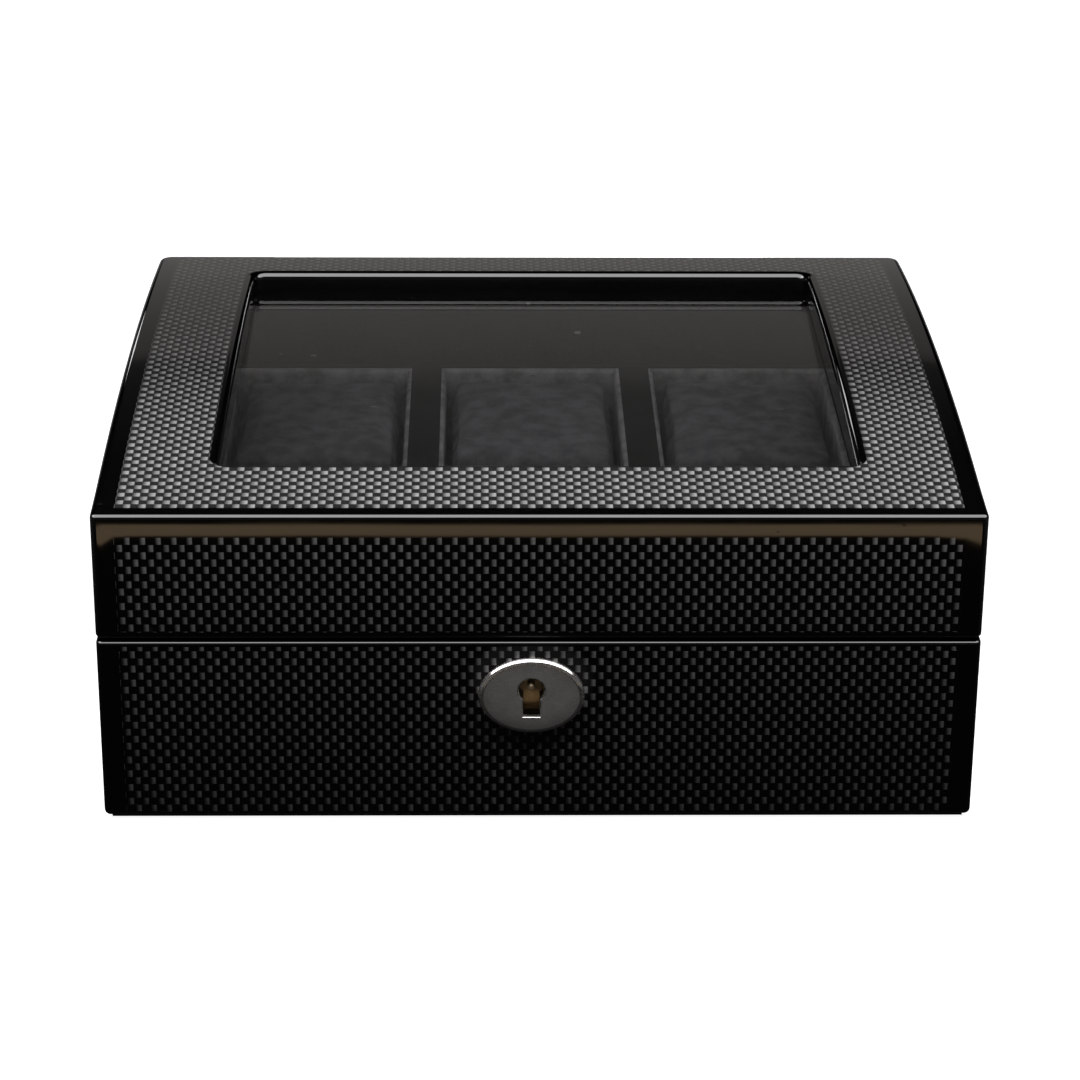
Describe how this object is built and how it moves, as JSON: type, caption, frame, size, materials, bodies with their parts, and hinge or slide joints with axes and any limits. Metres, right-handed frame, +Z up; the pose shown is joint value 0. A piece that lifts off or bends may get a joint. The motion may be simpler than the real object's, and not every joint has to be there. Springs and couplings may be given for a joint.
{
  "type": "watch box",
  "caption": "Rectangular lacquered watch box with carbon-weave panels, an arched lid with a glass window, a front lock and lift-out cushions in a velvet tray.",
  "frame": {"origin": "middle of the box's underside, on the surface it stands on, halfway between its outer side faces and halfway between its front and back faces (escutcheon and hinges not counted)", "axes": "+X to the right seen from the front, along the width; +Y from the front to the hinged back; +Z up"},
  "size_m": [0.23, 0.2115, 0.093],
  "materials": {
    "black_lacquer": "black high-gloss lacquer over fibreboard",
    "carbon_weave": "plain-weave carbon under clear gloss lacquer",
    "window_glass": "clear polished",
    "velvet": "black velvet",
    "suede": "charcoal suede",
    "felt": "black felt",
    "nickel": "polished nickel plate",
    "brass": "bare brass",
    "steel": "zinc-plated steel",
    "rubber": "soft black rubber"
  },
  "bodies": {
    "base": {"base_front_board": "black_lacquer", "base_back_board": "black_lacquer", "base_left_board": "black_lacquer", "base_right_board": "black_lacquer", "base_bottom_board": "black_lacquer", "base_felt": "felt", "base_front_skin": "carbon_weave", "base_back_skin": "carbon_weave", "base_left_skin": "carbon_weave", "base_right_skin": "carbon_weave", "escutcheon": "nickel", "lock_case": "brass", "lock_cover": "brass", "key_post": "brass", "bolt_spring": "steel", "lock_screws": "steel", "base_leaf_left": "nickel", "base_leaf_right": "nickel", "hinge_pin_left": "steel", "hinge_pin_right": "steel", "base_leaf_screws": "steel", "tray_floor": "velvet", "tray_front_rail": "velvet", "tray_back_rail": "velvet", "tray_left_rail": "velvet", "tray_right_rail": "velvet", "long_divider": "velvet", "cross_divider_left": "velvet", "cross_divider_right": "velvet", "bumpers": "rubber"},
    "lid": {"lid_leaf_left": "nickel", "lid_leaf_right": "nickel", "lid_leaf_screws": "steel", "lid_front_board": "black_lacquer", "lid_back_board": "black_lacquer", "lid_left_board": "black_lacquer", "lid_right_board": "black_lacquer", "lid_top_panel": "black_lacquer", "lid_front_skin": "carbon_weave", "lid_back_skin": "carbon_weave", "lid_left_skin": "carbon_weave", "lid_right_skin": "carbon_weave", "lid_top_skin": "carbon_weave", "lid_lining": "velvet", "link_plate": "brass", "link_plate_screws": "steel", "glass_pane": "window_glass", "glass_retainer": "velvet"},
    "bolt": {"lock_bolt": "steel"},
    "cushion_front_left": {"cushion_front_left": "suede"},
    "cushion_front_middle": {"cushion_front_middle": "suede"},
    "cushion_front_right": {"cushion_front_right": "suede"},
    "cushion_back_left": {"cushion_back_left": "suede"},
    "cushion_back_middle": {"cushion_back_middle": "suede"},
    "cushion_back_right": {"cushion_back_right": "suede"}
  },
  "joints": [
    {"name": "lid_hinge", "type": "hinge", "parent": "base", "child": "lid", "pos_m": [0, 0.1045, 0.0525], "axis": [-1, 0, 0], "range_deg": [0, 95]},
    {"name": "bolt_slide", "type": "slide", "parent": "base", "child": "bolt", "axis": [1, 0, 0], "range_m": [0, 0.0045]},
    {"name": "lift_front_left", "type": "slide", "parent": "base", "child": "cushion_front_left", "axis": [0, 0, 1], "range_m": [0, 0.02]},
    {"name": "lift_front_middle", "type": "slide", "parent": "base", "child": "cushion_front_middle", "axis": [0, 0, 1], "range_m": [0, 0.02]},
    {"name": "lift_front_right", "type": "slide", "parent": "base", "child": "cushion_front_right", "axis": [0, 0, 1], "range_m": [0, 0.02]},
    {"name": "lift_back_left", "type": "slide", "parent": "base", "child": "cushion_back_left", "axis": [0, 0, 1], "range_m": [0, 0.02]},
    {"name": "lift_back_middle", "type": "slide", "parent": "base", "child": "cushion_back_middle", "axis": [0, 0, 1], "range_m": [0, 0.02]},
    {"name": "lift_back_right", "type": "slide", "parent": "base", "child": "cushion_back_right", "axis": [0, 0, 1], "range_m": [0, 0.02]}
  ]
}
